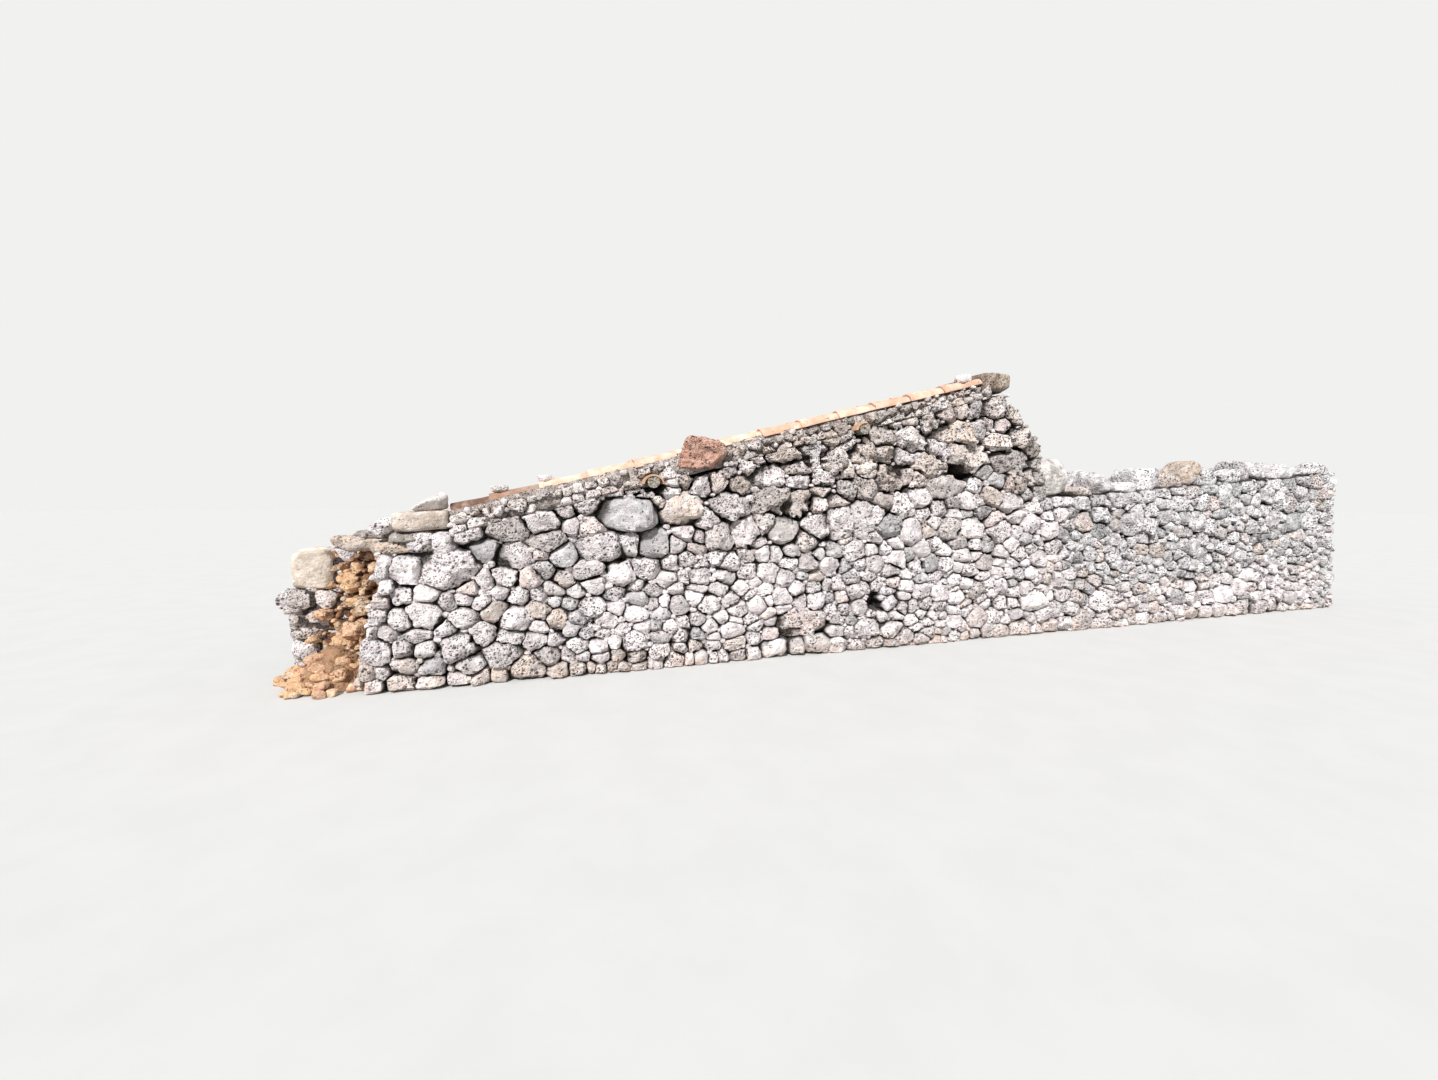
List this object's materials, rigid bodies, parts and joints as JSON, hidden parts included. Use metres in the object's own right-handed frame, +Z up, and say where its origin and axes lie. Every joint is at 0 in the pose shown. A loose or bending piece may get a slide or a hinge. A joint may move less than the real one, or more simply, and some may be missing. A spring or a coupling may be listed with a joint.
{
  "type": "dry stone wall",
  "caption": "Dry stone wall of pitted limestone: a raking stretch capped with lapped barrel tiles, broken open at its left end, stepping down to a lower coped field wall.",
  "frame": {"origin": "middle of the base of the wall, at the level it stands on", "axes": "+X along the wall towards the low field wall, the front face looks towards -Y, +Z up"},
  "size_m": [11.38, 0.95, 2.6043],
  "materials": {
    "limestone": "weathered, pitted, lichen-covered",
    "grey_stone": "smooth, weathered",
    "pale_stone": "sawn or split, weathered",
    "red_stone": "iron-stained, rough",
    "hearting": "earth-stained rubble",
    "clay_tile": "unglazed fired clay, bleached",
    "lime_mortar": "rough, weathered",
    "old_timber": "weathered, grey"
  },
  "bodies": {
    "root": {"front_footing": "grey_stone", "back_footing": "grey_stone", "front_face_left": "limestone", "front_face_middle": "limestone", "front_face_right": "limestone", "back_face_left": "limestone", "back_face_middle": "limestone", "back_face_right": "limestone", "hearting_left": "hearting", "hearting_middle": "hearting", "hearting_right": "hearting", "exposed_hearting": "hearting", "spilled_rubble": "hearting", "end_block": "pale_stone", "end_slabs": "pale_stone", "kerb_stones": "pale_stone", "mortar_bed": "lime_mortar", "front_cover_tiles": "clay_tile", "middle_cover_tiles": "clay_tile", "back_cover_tiles": "clay_tile", "front_channel_tiles": "clay_tile", "back_channel_tiles": "clay_tile", "broken_tiles": "clay_tile", "ridge_block": "lime_mortar", "ballast_stones": "limestone", "red_boulder": "red_stone", "left_log": "old_timber", "right_log": "old_timber", "left_log_tile": "clay_tile", "right_log_tile": "clay_tile", "stepped_end": "limestone", "junction_stones": "grey_stone", "field_front_1": "limestone", "field_front_2": "limestone", "field_front_3": "limestone", "field_back_1": "limestone", "field_back_2": "limestone", "field_back_3": "limestone", "field_hearting": "hearting", "field_cope_1": "limestone", "field_cope_2": "limestone", "field_cope_3": "limestone", "leaning_stone": "grey_stone", "field_end": "limestone"}
  },
  "joints": []
}
